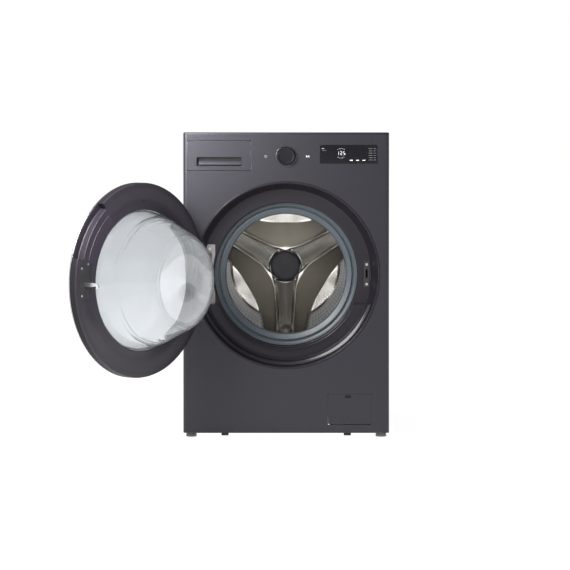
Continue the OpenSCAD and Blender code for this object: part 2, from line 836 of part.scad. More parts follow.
module filter_cover()
    color("dimgray")
    difference() {
        union() {
            block(filter_x - cover_w / 2, filter_x + cover_w / 2, 0, sheet, cover_low, cover_high);
            block(filter_x - 17, filter_x + 7, sheet - 0.1, 8, 130, 143);
            translate([filter_x - 60, front + cover_pin_d, cover_pin_z]) rotate([0, 90, 0])
                cylinder(h = 120, r = 3.05);
            translate([filter_x - 77.5, front + cover_pin_d, cover_pin_z]) rotate([0, 90, 0])
                cylinder(h = 155, r = 1.5);
        }
        block(filter_x - 15, filter_x + 5, -1, 6.5, 132, 141);
    }

module pump_filter()
    color("#cfcfcb")
    difference() {
        union() {
            disc(filter_x, filter_z, 20, 28, 32.5);
            block(filter_x - 4, filter_x + 4, 9, 21, filter_z - 26, filter_z + 26);
            disc(filter_x, filter_z, 27, 120, 24);
        }
        disc(filter_x, filter_z, 31, 125, 21);
        for (i = [0:5], d = [44, 64, 84, 104])
            translate([filter_x, front + d, filter_z]) rotate([0, i * 30, 0])
                translate([-30, -6, -3]) cube([60, 12, 6]);
    }

side_panel_left();
side_panel_right();
rear_panel();
rear_access_panel();
rear_panel_screws();
top_panel();
spring_beam();
base_frame();
front_panel();
door_surround();
surround_lower_trim();
door_lock();
surround_screws();
hinge_bracket();
control_board();
display_window();
dial_bezel();
dispenser_housing();
inlet_valves();
fill_hose();
drain_pump();
drain_hose_inner();
power_gland();
foot_locknuts();
base_bumpers();
transit_hole_caps();
damper_cylinders();
suspension_springs();
foot_front_left();
foot_front_right();
foot_rear_left();
foot_rear_right();
front_tub();
rear_tub();
tub_clamp_screws();
counterweights();
door_gasket();
sump_hose();
damper_rods();
stator();
bearings();
drum_shell();
drum_back();
drum_front_ring();
drum_lifters();
drum_spider();
drive_shaft();
hub_cap();
rotor();
door_inner_frame();
door_outer_frame();
door_outer_glass();
door_glass_bowl();
door_hinge_leaf();
latch_hook();
drawer_front();
drawer_tray();
dial_knob();
filter_cover();
pump_filter();
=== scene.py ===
"""Looks of a front load washing machine with its door open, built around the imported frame."""
import json
import math

import bmesh
import bpy
from mathutils import Matrix, Vector

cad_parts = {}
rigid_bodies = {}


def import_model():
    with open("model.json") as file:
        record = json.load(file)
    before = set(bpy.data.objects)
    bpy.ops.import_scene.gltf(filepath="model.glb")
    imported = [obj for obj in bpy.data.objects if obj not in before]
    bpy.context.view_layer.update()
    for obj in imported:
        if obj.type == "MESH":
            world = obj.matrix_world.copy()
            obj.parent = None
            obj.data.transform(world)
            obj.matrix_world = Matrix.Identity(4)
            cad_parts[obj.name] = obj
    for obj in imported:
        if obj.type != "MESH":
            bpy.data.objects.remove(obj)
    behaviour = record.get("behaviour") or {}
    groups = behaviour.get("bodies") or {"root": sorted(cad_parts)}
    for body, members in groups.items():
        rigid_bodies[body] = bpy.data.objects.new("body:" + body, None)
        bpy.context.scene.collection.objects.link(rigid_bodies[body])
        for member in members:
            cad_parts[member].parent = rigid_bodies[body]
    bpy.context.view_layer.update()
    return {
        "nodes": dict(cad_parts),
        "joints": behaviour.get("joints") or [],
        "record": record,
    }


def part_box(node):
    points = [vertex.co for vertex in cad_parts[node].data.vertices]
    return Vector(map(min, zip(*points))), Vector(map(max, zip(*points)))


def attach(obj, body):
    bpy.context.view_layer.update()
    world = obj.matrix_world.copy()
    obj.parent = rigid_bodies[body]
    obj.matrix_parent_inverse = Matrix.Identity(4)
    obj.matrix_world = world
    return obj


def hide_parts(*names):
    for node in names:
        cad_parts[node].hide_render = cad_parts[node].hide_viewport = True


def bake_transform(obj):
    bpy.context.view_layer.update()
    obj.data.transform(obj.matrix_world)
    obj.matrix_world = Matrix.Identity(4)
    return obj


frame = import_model()
joints = {j["name"]: j for j in frame["joints"]}
slots = {s["node"]: s["material_slot"] for s in frame["record"]["subparts"]}

# ------------------------------------------------------------------ places
MM = 0.001
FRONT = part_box("front_panel")[0].y
AXIS_Z = joints["drum_spin"]["pos_m"][2] / MM
HINGE = joints["door_swing"]["pos_m"]
DOOR_OPEN = math.radians(joints["door_swing"]["range_deg"][1])
DOOR = (
    Matrix.Translation((HINGE[0], HINGE[1], 0))
    @ Matrix.Rotation(-DOOR_OPEN, 4, "Z")
    @ Matrix.Translation((-HINGE[0], -HINGE[1], 0))
)


def span(node):
    """A CAD node's box in millimetres: x0, x1, depth0, depth1, z0, z1."""
    a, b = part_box(node)
    return (a.x / MM, b.x / MM, (a.y - FRONT) / MM, (b.y - FRONT) / MM, a.z / MM, b.z / MM)


def at(x, d, z):
    """A point from x, depth behind the front and height, all in millimetres."""
    return Vector((x * MM, FRONT + d * MM, z * MM))


def add_to_scene(name, data):
    """A new object in the scene."""
    made = bpy.data.objects.new(name, data)
    bpy.context.scene.collection.objects.link(made)
    return made


# --------------------------------------------------------------- materials
def new_node(tree, kind, values=None, **settings):
    """A shader node with its settings, and values for some of its inputs."""
    made = tree.nodes.new("ShaderNode" + kind)
    for key, value in settings.items():
        setattr(made, key, value)
    for key, value in (values or {}).items():
        made.inputs[key].default_value = value
    return made


def material(name, color, rough=0.4, metal=0.0, mottle=0.06, grain=60.0, bump=0.0, bump_scale=400.0,
             rough_vary=0.08, stretch=(1, 1, 1), coat=0.0, coat_rough=0.1, ior=1.5, transmission=0.0,
             specular=0.5, emission=0.0):
    """Principled material whose colour, roughness and bump come from layered noise."""
    m = bpy.data.materials.new(name)
    m.use_nodes = True
    tree = m.node_tree
    link = tree.links.new
    shader = tree.nodes["Principled BSDF"]
    inputs = {"Metallic": metal, "IOR": ior, "Transmission Weight": transmission, "Coat Weight": coat,
              "Coat Roughness": coat_rough, "Specular IOR Level": specular}
    for key, value in inputs.items():
        shader.inputs[key].default_value = value
    coords = new_node(tree, "TexCoord")
    mapping = new_node(tree, "Mapping", {"Scale": stretch})
    link(coords.outputs["Object"], mapping.inputs["Vector"])
    wide = new_node(tree, "TexNoise", {"Scale": grain, "Detail": 6})
    link(mapping.outputs["Vector"], wide.inputs["Vector"])
    shade = new_node(tree, "MapRange", {"To Min": 1 - mottle, "To Max": 1 + mottle})
    link(wide.outputs["Fac"], shade.inputs["Value"])
    tint = new_node(tree, "VectorMath", {0: color}, operation="SCALE")
    link(shade.outputs["Result"], tint.inputs["Scale"])
    link(tint.outputs["Vector"], shader.inputs["Base Color"])
    lowest, highest = max(0.02, rough - rough_vary), min(1.0, rough + rough_vary)
    spread = new_node(tree, "MapRange", {"To Min": lowest, "To Max": highest})
    link(wide.outputs["Fac"], spread.inputs["Value"])
    link(spread.outputs["Result"], shader.inputs["Roughness"])
    if bump:
        fine = new_node(tree, "TexNoise", {"Scale": bump_scale, "Detail": 3})
        link(mapping.outputs["Vector"], fine.inputs["Vector"])
        relief = new_node(tree, "Bump", {"Strength": bump, "Distance": 0.0004})
        link(fine.outputs["Fac"], relief.inputs["Height"])
        link(relief.outputs["Normal"], shader.inputs["Normal"])
    if emission:
        shader.inputs["Emission Color"].default_value = [*color, 1]
        shader.inputs["Emission Strength"].default_value = emission
    return m


def flake_paint(name, color):
    """Metallic paint: fine bright flakes under a satin clear coat."""
    m = material(name, color, rough=0.42, metal=0.55, mottle=0.03, grain=9, rough_vary=0.03,
                 bump=0.05, bump_scale=900, coat=0.25, coat_rough=0.28)
    tree = m.node_tree
    link = tree.links.new
    shader = tree.nodes["Principled BSDF"]
    plain = shader.inputs["Base Color"].links[0].from_socket
    coords = [n for n in tree.nodes if n.type == "TEX_COORD"][0]
    flakes = new_node(tree, "TexVoronoi", {"Scale": 1500})
    link(coords.outputs["Object"], flakes.inputs["Vector"])
    value = new_node(tree, "SeparateColor")
    link(flakes.outputs["Color"], value.inputs["Color"])
    bright = new_node(tree, "MapRange", {"To Min": 0.86, "To Max": 1.16})
    link(value.outputs["Red"], bright.inputs["Value"])
    mixed = new_node(tree, "VectorMath", operation="SCALE")
    link(plain, mixed.inputs[0])
    link(bright.outputs["Result"], mixed.inputs["Scale"])
    link(mixed.outputs["Vector"], shader.inputs["Base Color"])
    return m


M = {
    "body_paint": flake_paint("dark_metallic_paint", (0.027, 0.0255, 0.0335)),
    "zinc_steel": material("zinc_steel", (0.6, 0.6, 0.62), 0.32, 1.0, 0.12, 90, 0.15, 900),
    "galvanised": material("galvanised_steel", (0.46, 0.47, 0.49), 0.42, 1.0, 0.22, 38, 0.1, 500),
    "surround_plastic": material("surround_plastic", (0.011, 0.009, 0.0135), 0.42, 0.0, 0.06, 30, 0.0, 1400,
                                 0.03, specular=0.15, coat=0.35, coat_rough=0.13),
    "black_plastic": material("black_plastic", (0.018, 0.018, 0.02), 0.5, 0.0, 0.12, 80, 0.35, 1500),
    "hinge_casting": material("hinge_casting", (0.27, 0.25, 0.25), 0.5, 0.8, 0.2, 120, 0.35, 900, 0.1),
    "board_plastic": material("board_plastic", (0.66, 0.66, 0.62), 0.55, 0.0, 0.05, 60, 0.2, 1200),
    "display_gloss": material("display_gloss", (0.006, 0.006, 0.008), 0.08, 0.0, 0.1, 20, 0.0, 400, 0.02,
                              coat=1.0, coat_rough=0.03),
    "bright_trim": material("bright_trim", (0.46, 0.45, 0.47), 0.25, 1.0, 0.06, 70, 0.06, 900, 0.06,
                            stretch=(1, 1, 6)),
    "white_plastic": material("white_plastic", (0.74, 0.75, 0.76), 0.45, 0.0, 0.03, 50, 0.12, 1200),
    "black_rubber": material("black_rubber", (0.02, 0.02, 0.021), 0.78, 0.0, 0.2, 120, 0.5, 900),
    "grey_plastic": material("grey_plastic", (0.30, 0.30, 0.31), 0.5, 0.0, 0.06, 60, 0.2, 1200),
    "foot_plastic": material("foot_plastic", (0.15, 0.15, 0.155), 0.42, 0.6, 0.12, 120, 0.3, 900),
    "tub_plastic": material("tub_plastic", (0.62, 0.62, 0.60), 0.5, 0.0, 0.05, 40, 0.15, 900),
    "counterweight": material("counterweight", (0.36, 0.35, 0.33), 0.85, 0.0, 0.2, 110, 0.7, 500),
    "gasket_rubber": material("gasket_rubber", (0.040, 0.051, 0.062), 0.46, 0.0, 0.06, 24, 0.12, 1600, 0.06,
                              specular=0.6),
    "motor_windings": material("motor_windings", (0.42, 0.17, 0.06), 0.4, 0.7, 0.25, 400, 0.6, 900),
    "drum_steel": material("drum_steel", (0.60, 0.58, 0.545), 0.25, 1.0, 0.06, 12, 0.03, 300, 0.05),
    "cast_aluminium": material("cast_aluminium", (0.5, 0.5, 0.5), 0.55, 0.9, 0.15, 90, 0.5, 700),
    "hub_plastic": material("hub_plastic", (0.044, 0.041, 0.056), 0.5, 0.0, 0.08, 60, 0.2, 1500),
    "rotor_steel": material("rotor_steel", (0.42, 0.42, 0.44), 0.4, 1.0, 0.12, 60, 0.1, 600),
    "door_plastic": material("door_plastic", (0.018, 0.0145, 0.022), 0.38, 0.0, 0.08, 30, 0.03, 1400, 0.04,
                             specular=0.35, coat=0.1, coat_rough=0.2),
    "tinted_glass": material("cover_glass", (0.86, 0.88, 0.9), 0.03, 0.0, 0.01, 8, 0.0, 400, 0.01,
                             ior=1.45, transmission=1.0),
    "bowl_glass": material("bowl_glass", (0.745, 0.765, 0.785), 0.03, 0.0, 0.01, 8, 0.0, 60, 0.015,
                           ior=1.45, transmission=0.88),
    "knob_metal": material("knob_metal", (0.026, 0.026, 0.031), 0.3, 0.85, 0.1, 200, 0.1, 900),
    "print_light": material("print_light", (0.72, 0.74, 0.77), 0.5, 0.0, 0.05, 90, 0.0, 400, emission=0.35),
    "print_dim": material("print_dim", (0.12, 0.12, 0.125), 0.5, 0.0, 0.05, 90, 0.0, 400),
    "print_grey": material("print_grey", (0.36, 0.37, 0.39), 0.5, 0.0, 0.05, 90, 0.0, 400),
    # a dark brown copy of the drum steel for the drum's round wall: painted shade inside the drum
    "drum_shell_painted_shade": material("drum_shell_painted_shade", (0.25, 0.235, 0.205), 0.42, 1.0, 0.5, 5, 0.03, 300, 0.05),
    # a pale, less metallic copy of the drum steel for the back's perforated rims: painted highlight
    "perforated_rim_painted_highlight": material("perforated_rim_painted_highlight", (0.86, 0.86, 0.88), 0.5, 0.3, 0.06, 12, 0.03, 300, 0.05),
    # a darker, duller copy of the door plastic for the frame's side: painted shade
    "rim_side_painted_shade": material("rim_side_painted_shade", (0.012, 0.011, 0.013), 0.5, 0.0, 0.1, 60, 0.1, 1400, 0.04,
                         specular=0.12),
    "bezel_metal": material("bezel_metal", (0.30, 0.29, 0.31), 0.3, 1.0, 0.06, 70, 0.06, 900, 0.06),
    # a lighter grey copy of the door plastic for the grip's raised edges: painted highlight
    "painted_grip_highlight": material("painted_grip_highlight", (0.10, 0.095, 0.105), 0.4, 0.3, 0.06, 70, 0.06, 900, 0.06),
    # near-black stand-in for gaps, slots and openings that lie in shade: painted shadow
    "painted_gap_shadow": material("painted_gap_shadow", (0.006, 0.006, 0.007), 0.8, 0.0, 0.2, 80, 0.1, 900),
}


# ------------------------------------------------------------------ meshes
CLEAN = 2e-6  # vertices closer than this, in metres, are one
SHARP = 32  # degrees that two faces turn before their edge shows
SMALL_FACE = 2e-5  # faces of flat sheets below this area, in square metres, are rounded edges


def turned(cx, cz, r, degrees):
    """A point in the front's plane, turned about a centre."""
    a = math.radians(degrees)
    return cx + r * math.cos(a), cz + r * math.sin(a)


def mark_sharp(bm, degrees=SHARP):
    """Lets an edge show where its faces turn by this much or more."""
    for e in bm.edges:
        e.smooth = e.calc_face_angle(0) < math.radians(degrees)


def finish_piece(name, mesh, body, slot, look=None, smooth=SHARP, door=False, replaces=(), flat_from=None):
    """Cleans a mesh, marks its sharp edges and makes it a piece of the object."""
    bm = bmesh.new()
    bm.from_mesh(mesh)
    bmesh.ops.remove_doubles(bm, verts=bm.verts, dist=CLEAN)
    bmesh.ops.dissolve_degenerate(bm, edges=bm.edges, dist=1e-7)
    bmesh.ops.recalc_face_normals(bm, faces=bm.faces)
    if door:
        bmesh.ops.transform(bm, matrix=DOOR, verts=bm.verts)
    for f in bm.faces:
        f.smooth = flat_from is None or f.calc_area() < flat_from
    mark_sharp(bm, smooth)
    bm.to_mesh(mesh)
    bm.free()
    piece = add_to_scene(name, mesh)
    mesh.materials.append(M[look or slot])
    if replaces:
        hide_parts(*replaces)
    if body:
        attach(piece, body)
    return piece


def piece_from(name, verts, faces, body, slot, **options):
    """A piece from its points and faces."""
    mesh = bpy.data.meshes.new(name)
    mesh.from_pydata([tuple(v) for v in verts], [], faces)
    return finish_piece(name, mesh, body, slot, **options)


def soften(points, radius, closed=True, steps=3):
    """Rounds each corner of an outline with a small arc."""
    out = []
    count = len(points)
    for i, p in enumerate(points):
        if not closed and i in (0, count - 1):
            out.append(p)
            continue
        a, b = points[i - 1], points[(i + 1) % count]
        va, vb = Vector((a[0] - p[0], a[1] - p[1])), Vector((b[0] - p[0], b[1] - p[1]))
        if va.length < 1e-6 or vb.length < 1e-6:
            out.append(p)
            continue
        turn = va.angle(vb)
        if turn > math.radians(172):
            out.append(p)
            continue
        cut = min(radius / max(math.tan(turn / 2), 0.2), va.length * 0.45, vb.length * 0.45)
        s, e = Vector(p) + va.normalized() * cut, Vector(p) + vb.normalized() * cut
        for k in range(steps + 1):
            t = k / steps
            q = s * (1 - t) ** 2 + Vector(p) * 2 * t * (1 - t) + e * t * t
            out.append((q.x, q.y))
    return out


def lathe(name, profile, body, slot, segs=180, centre=None, ends=None, **options):
    """Turns a closed outline of (radius, depth) about an axis along Y.
    ends(radius) gives the first and last angle where the turn isn't full."""
    cx, cz = centre or (0.0, AXIS_Z)
    verts, faces = [], []
    count = len(profile)
    rows = segs + 1 if ends else segs
    for i in range(rows):
        for r, d in profile:
            if ends:
                a0, a1 = ends(r)
                a = math.radians(a0 + (a1 - a0) * i / segs)
            else:
                a = math.tau * i / segs
            verts.append(at(cx + r * math.cos(a), d, cz + r * math.sin(a)))
    for i in range(segs):
        j = (i + 1) % rows
        for k in range(count):
            n = (k + 1) % count
            faces.append((i * count + k, j * count + k, j * count + n, i * count + n))
    if ends:
        faces.append(tuple(range(count)))
        faces.append(tuple(range((rows - 1) * count, rows * count)))
    return piece_from(name, verts, faces, body, slot, **options)


def ring_of_profiles(name, angles, profile_at, body, slot, **options):
    """A closed ring whose outline changes from one angle to the next. The outlines have equal counts."""
    verts, faces = [], []
    outlines = [profile_at(i) for i in range(len(angles))]
    count = len(outlines[0])
    for a, outline in zip(angles, outlines):
        c, s = math.cos(math.radians(a)), math.sin(math.radians(a))
        verts += [at(r * c, d, AXIS_Z + r * s) for r, d in outline]
    for i in range(len(angles)):
        j = (i + 1) % len(angles)
        for k in range(count):
            n = (k + 1) % count
            faces.append((i * count + k, j * count + k, j * count + n, i * count + n))
    return piece_from(name, verts, faces, body, slot, **options)


def circle(cx, cz, r, count):
    """A circle's outline."""
    turns = [math.tau * i / count for i in range(count)]
    return [(cx + r * math.cos(a), cz + r * math.sin(a)) for a in turns]


def rounded(x0, x1, z0, z1, r, steps=6):
    """A rectangle's outline with round corners."""
    centres = [(x1 - r, z1 - r), (x0 + r, z1 - r), (x0 + r, z0 + r), (x1 - r, z0 + r)]
    out = []
    for corner, (cx, cz) in enumerate(centres):
        out += [turned(cx, cz, r, 90 * corner + 90 * k / steps) for k in range(steps + 1)]
    return out


def evaluated_mesh(holder):
    """A new mesh of an object as it stands, with its modifiers."""
    return bpy.data.meshes.new_from_object(holder.evaluated_get(bpy.context.evaluated_depsgraph_get()))


def plate(name, loops, d0, d1, body, slot, bevel=0.5, **options):
    """A flat plate facing the front, with holes, and its edges rounded."""
    curve = bpy.data.curves.new(name, "CURVE")
    curve.dimensions = "2D"
    curve.fill_mode = "BOTH"
    curve.extrude = ((d1 - d0) / 2 - bevel) * MM
    curve.bevel_depth = bevel * MM
    curve.bevel_resolution = 2
    curve.offset = -bevel * MM
    for loop in loops:
        spline = curve.splines.new("POLY")
        spline.points.add(len(loop) - 1)
        for point, (x, z) in zip(spline.points, loop):
            point.co = (x * MM, z * MM, 0, 1)
        spline.use_cyclic_u = True
    holder = add_to_scene(name, curve)
    bpy.context.view_layer.update()
    mesh = evaluated_mesh(holder)
    bpy.data.objects.remove(holder)
    mesh.materials.clear()
    middle = FRONT + (d0 + d1) / 2 * MM
    for v in mesh.vertices:
        x, y, z = v.co
        v.co = (x, middle + z, y)
    options.setdefault("flat_from", SMALL_FACE)
    return finish_piece(name, mesh, body, slot, **options)


def block(name, x0, x1, d0, d1, z0, z1, body, slot, bevel=1.0, steps=2, **options):
    """A box with rounded edges."""
    bm = bmesh.new()
    bmesh.ops.create_cube(bm, size=1)
    for v in bm.verts:
        x = (x0 + x1) / 2 + v.co.x * (x1 - x0)
        d = (d0 + d1) / 2 + v.co.y * (d1 - d0)
        z = (z0 + z1) / 2 + v.co.z * (z1 - z0)
        v.co = at(x, d, z)
    bmesh.ops.bevel(bm, geom=bm.edges[:], offset=bevel * MM, segments=steps, profile=0.5, affect="EDGES")
    mesh = bpy.data.meshes.new(name)
    bm.to_mesh(mesh)
    bm.free()
    options.setdefault("flat_from", SMALL_FACE)
    return finish_piece(name, mesh, body, slot, **options)


def pierce(piece, x0, x1, d0, d1, z0, z1):
    """Cuts a block-shaped hole through a piece."""
    corners = [at(x, d, z) for x in (x0, x1) for d in (d0, d1) for z in (z0, z1)]
    sides = [(0, 1, 3, 2), (4, 6, 7, 5), (0, 4, 5, 1), (2, 3, 7, 6), (0, 2, 6, 4), (1, 5, 7, 3)]
    mesh = bpy.data.meshes.new("cutter")
    mesh.from_pydata([tuple(c) for c in corners], [], sides)
    cutter = add_to_scene("cutter", mesh)
    cut = piece.modifiers.new("cut", "BOOLEAN")
    cut.object = cutter
    cut.solver = "EXACT"
    bpy.context.view_layer.update()
    done = evaluated_mesh(piece)
    piece.modifiers.clear()
    piece.data = done
    bpy.data.objects.remove(cutter)
    bpy.data.meshes.remove(mesh)
    bm = bmesh.new()
    bm.from_mesh(done)
    for e in bm.edges:
        if any(x0 - 1 < v.co.x / MM < x1 + 1 and z0 - 1 < v.co.z / MM < z1 + 1 for v in e.verts):
            e.smooth = e.calc_face_angle(0) < math.radians(SHARP)
    bm.to_mesh(done)
    bm.free()


def flexing(node, start, end):
    """A copy of a CAD node in its place, which takes over from it."""
    source = frame["nodes"][node]
    mesh = source.data.copy()
    mesh.transform(source.matrix_world)
    mesh.materials.clear()
    piece = finish_piece(node + "_flexing", mesh, None, slots[node], replaces=[node])
    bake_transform(piece)


def perforated(name, rows, columns, surface, hole, body, slot, lift=0.0, wrap=True, **options):
    """A sheet of round holes: surface(u, v) gives the point, hole the hole's size in a cell."""
    verts, faces = [], []
    corner = [(-1, -1), (0, -1), (1, -1), (1, 0), (1, 1), (0, 1), (-1, 1), (-1, 0)]
    unit = [(a / math.hypot(a, b), b / math.hypot(a, b)) for a, b in corner]
    # the cell's border, the hole's edge, and the same edge pressed outwards and a little narrower
    loops = [(corner, 1 / 2, 0), (unit, hole / 2, 0), (unit, hole / 2.1, lift)]
    for i in range(rows):
        for j in range(columns):
            base = len(verts)
            shift = 0.5 if wrap and i % 2 else 0.0
            for directions, reach, height in loops:
                for a, b in directions:
                    u = (i + 0.5 + b * reach) / rows
                    v = (j + shift + 0.5 + a * reach) / columns
                    verts.append(surface(u, v, height))
            for k in range(8):
                n = (k + 1) % 8
                faces.append((base + k, base + n, base + 8 + n, base + 8 + k))
                faces.append((base + 8 + k, base + 8 + n, base + 16 + n, base + 16 + k))
    return piece_from(name, verts, faces, body, slot, **options)


# --------------------------------------------------------------- CAD nodes
for node, obj in frame["nodes"].items():
    obj.data.materials.clear()
    obj.data.materials.append(M[slots[node]])

# what the tub hangs from and drains through, copied in place of the CAD nodes
springs, hose = span("suspension_springs"), span("sump_hose")
springs_d, hose_d = (springs[2] + springs[3]) / 2, (hose[2] + hose[3]) / 2
flexing("suspension_springs", at(0, springs_d, springs[5] - 25), at(0, springs_d, springs[4] + 35))
flexing("sump_hose", at(0, hose_d, hose[4] + 25), at(0, hose_d, hose[5] - 25))

# ----------------------------------------------------------------- cabinet
_, PANEL_X, _, _, PANEL_Z0, PANEL_Z1 = span("front_panel")
draw = span("drawer_front")
shown = span("display_window")
cover = span("filter_cover")
dial = span("dial_bezel")
dial_x, dial_z = (dial[0] + dial[1]) / 2, (dial[4] + dial[5]) / 2
cover_x = (cover[0] + cover[1]) / 2
cover_w = cover[1] - cover[0] - 12
SLOPE_R = 305.0  # where the surround's slope begins, at the front
EDGE_R = 12.0  # the radius that the front's upright edges are bent to
FLAT = PANEL_X - EDGE_R
BEND = EDGE_R * math.pi / 2  # the sheet that one bend takes up
REACH = FLAT + BEND + 1.8


def bend_edges(piece):
    """Bends a flat front sheet's upright edges backwards, at a radius of EDGE_R."""
    mesh = piece.data
    bm = bmesh.new()
    bm.from_mesh(mesh)
    cuts = [FLAT + BEND * k / 6 for k in range(7)]
    for x in cuts + [-c for c in cuts]:
        everything = bm.verts[:] + bm.edges[:] + bm.faces[:]
        bmesh.ops.bisect_plane(bm, geom=everything, plane_co=(x * MM, 0, 0), plane_no=(1, 0, 0), dist=1e-6)
    for v in bm.verts:
        s = abs(v.co.x) / MM - FLAT
        if s <= 0:
            continue
        d = (v.co.y - FRONT) / MM
        if s < BEND:
            t = s / EDGE_R
            x = FLAT + (EDGE_R - d) * math.sin(t)
            depth = EDGE_R - (EDGE_R - d) * math.cos(t)
        else:
            x = FLAT + EDGE_R - d
            depth = EDGE_R + s - BEND
        v.co.x = math.copysign(x * MM, v.co.x)
        v.co.y = FRONT + depth * MM
    for f in bm.faces:
        f.smooth = f.smooth or abs(f.calc_center_median().x) > FLAT * MM
    mark_sharp(bm)
    bm.to_mesh(mesh)
    bm.free()


panel = plate("front_panel_sheet", [
    rounded(-REACH, REACH, PANEL_Z0, PANEL_Z1, 1),
    circle(0, AXIS_Z, SLOPE_R + 0.5, 220),
    rounded(draw[0] - 0.9, draw[1] + 0.9, draw[4] - 0.9, draw[5] + 0.9, 5),
    rounded(shown[0] - 0.2, shown[1] + 0.2, shown[4] - 0.2, shown[5] + 0.2, 2),
    circle(dial_x, dial_z, 12, 48),
    rounded(cover_x - cover_w / 2 - 0.2, cover_x + cover_w / 2 + 0.2, cover[4] - 1.9, cover[5] + 0.4, 1.3),
], 0, 1.5, "cabinet", "body_paint", bevel=0.35, replaces=["front_panel"])
bend_edges(panel)

# top panel, its front corners as round as the bends below
top = span("top_panel")
bm = bmesh.new()
outline = [(top[0], top[3]), (top[1], top[3])]
outline += [turned(FLAT, EDGE_R, EDGE_R, -a) for a in range(0, 91, 10)]
outline += [turned(-FLAT, EDGE_R, EDGE_R, -90 - a) for a in range(0, 91, 10)]
base = bm.faces.new([bm.verts.new(at(x, d, top[4])) for x, d in outline])
grown = bmesh.ops.extrude_face_region(bm, geom=[base])
raised = [g for g in grown["geom"] if isinstance(g, bmesh.types.BMVert)]
bmesh.ops.translate(bm, verts=raised, vec=(0, 0, (top[5] - top[4]) * MM))
rims = [e for e in bm.edges if all(v in raised for v in e.verts)]
bmesh.ops.bevel(bm, geom=rims, offset=4.5 * MM, segments=5, profile=0.5, affect="EDGES")
cover_mesh = bpy.data.meshes.new("top_panel_cover")
bm.to_mesh(cover_mesh)
bm.free()
finish_piece("top_panel_cover", cover_mesh, "cabinet", "body_paint", replaces=["top_panel"], flat_from=0.01)

# surround of the door opening, with its bright bead, slope and floor
surround_profile = soften([
    (312, -0.05), (312, -1.2), (310.5, -2), (307.5, -2), (304.8, 0.5), (296, 21), (289, 38), (287.3, 42),
    (286, 46.5), (285, 49), (283.5, 50), (243.5, 50), (241.1, 50.8), (240.5, 53), (240.5, 72), (243, 72),
    (243, 53.5), (244.5, 52.5), (284.7, 52.5), (288.2, 50.5), (290.2, 43), (305, 5), (305, -0.05)], 1.2)
surround = lathe("door_surround_ring", surround_profile, "cabinet", "surround_plastic", segs=240,
                 replaces=["door_surround"], smooth=50)
# a thin ring of painted shadow round the surround, where it meets the front
lathe("door_surround_seam", [(311.9, 0.2), (311.9, -0.05), (313.2, -0.05), (313.2, 0.2)], "cabinet",
      "surround_plastic", segs=240, look="painted_gap_shadow")
TRIM_TOP = span("surround_lower_trim")[5]


def trim_ends(r):
    """The angles at which the lower crescent's level top cuts a circle."""
    rise = math.degrees(math.asin((TRIM_TOP - AXIS_Z) / r))
    return rise, -180 - rise


crescent_profile = soften([
    (246, 49.9), (282.5, 49.9), (285.6, 43.5), (288.3, 38.6), (300.4, 9.9), (299.8, 8.3), (289.6, 13.7),
    (287.4, 28), (285, 33), (277, 34.5), (262, 35), (249, 35.6), (246, 38)], 1.5)
lathe("surround_lower_crescent", crescent_profile, "cabinet", "surround_plastic", segs=130, ends=trim_ends,
      replaces=["surround_lower_trim"], smooth=50)

# the door lock stands in a hole through the surround
lock = span("door_lock")
lock_x = (lock[0] + lock[1]) / 2
pierce(surround, lock_x - 7.5, lock_x + 7.5, 48, 54, AXIS_Z - 29, AXIS_Z + 29)

# drawer front with its pull slot
slot_x0, slot_x1, slot_z0, slot_z1 = -297.8, -148.8, 903.2, 931.9
plate("drawer_face", [
    rounded(draw[0], draw[1], draw[4], draw[5], 4.5),
    rounded(slot_x0, slot_x1, slot_z0, slot_z1, 2.5),
], 0, 3, "drawer", "body_paint", bevel=0.6, replaces=["drawer_front"])


def open_box(name, a0, a1, b0, b1, c0, c1, body, slot, thick=1.0, **options):
    """A pocket open to the front: walls and back of a thin sheet."""
    def corners(grow):
        left, right, low, high = a0 - grow, a1 + grow, c0 - grow, c1 + grow
        return [(left, low), (right, low), (right, high), (left, high)]

    outer, inner = corners(thick), corners(0)
    verts = [at(x, b0, z) for x, z in outer] + [at(x, b0, z) for x, z in inner]
    verts += [at(x, b1, z) for x, z in inner] + [at(x, b1 + thick, z) for x, z in outer]
    faces = [(8, 9, 10, 11), (12, 13, 14, 15)]
    for k in range(4):
        n = (k + 1) % 4
        faces += [(k, n, 4 + n, 4 + k), (4 + k, 4 + n, 8 + n, 8 + k), (k, n, 12 + n, 12 + k)]
    return piece_from(name, verts, faces, body, slot, **options)


open_box("drawer_pull_pocket", slot_x0, slot_x1, 2.8, 21, slot_z0, slot_z1 + 9, "drawer", "black_plastic",
         thick=0.8)
# the lip that fingers pull on, as an outline of (depth, height) run along the pocket
lip = soften([(6.5, 905.6), (5.5, 908), (10.5, 920), (12, 922.6), (13, 922.6), (14, 920), (14, 905.6)], 1.5)
verts = [at(x, d, z) for x in (slot_x0 + 8, slot_x1 - 1) for d, z in lip]
half = len(lip)
faces = [tuple(range(half)), tuple(range(half, 2 * half))]
faces += [(k, (k + 1) % half, half + (k + 1) % half, half + k) for k in range(half)]
piece_from("drawer_pull_lip", verts, faces, "drawer", "body_paint", smooth=40)
body_x0, body_x1, body_z0, body_z1 = draw[0] + 3, draw[1] - 3, draw[4] + 3, draw[5] - 3
block("drawer_body", body_x0, body_x1, 21.9, draw[3] - 0.2, body_z0, body_z1, "drawer", "body_paint",
      bevel=1.2)
for side, a, b in (("left", body_x0, slot_x0 - 3), ("right", slot_x1 + 3, body_x1)):
    block(f"drawer_rib_{side}", a, b, 2.9, 22, body_z0, body_z1, "drawer", "body_paint", bevel=0.8)

# display window: black glass, with generic digits and marks on its face
block("display_glass", *shown, "cabinet", "display_gloss", bevel=0.5, replaces=["display_window"])
FACE_D = shown[2] - 0.04

# the slot in the lock's face is lined with painted shadow, a near-black box inside it
open_box("door_lock_slot", lock_x - 3.4, lock_x + 3.4, 47.6, 72, AXIS_Z - 10.9, AXIS_Z + 16.9, "cabinet",
         "black_plastic", look="painted_gap_shadow")


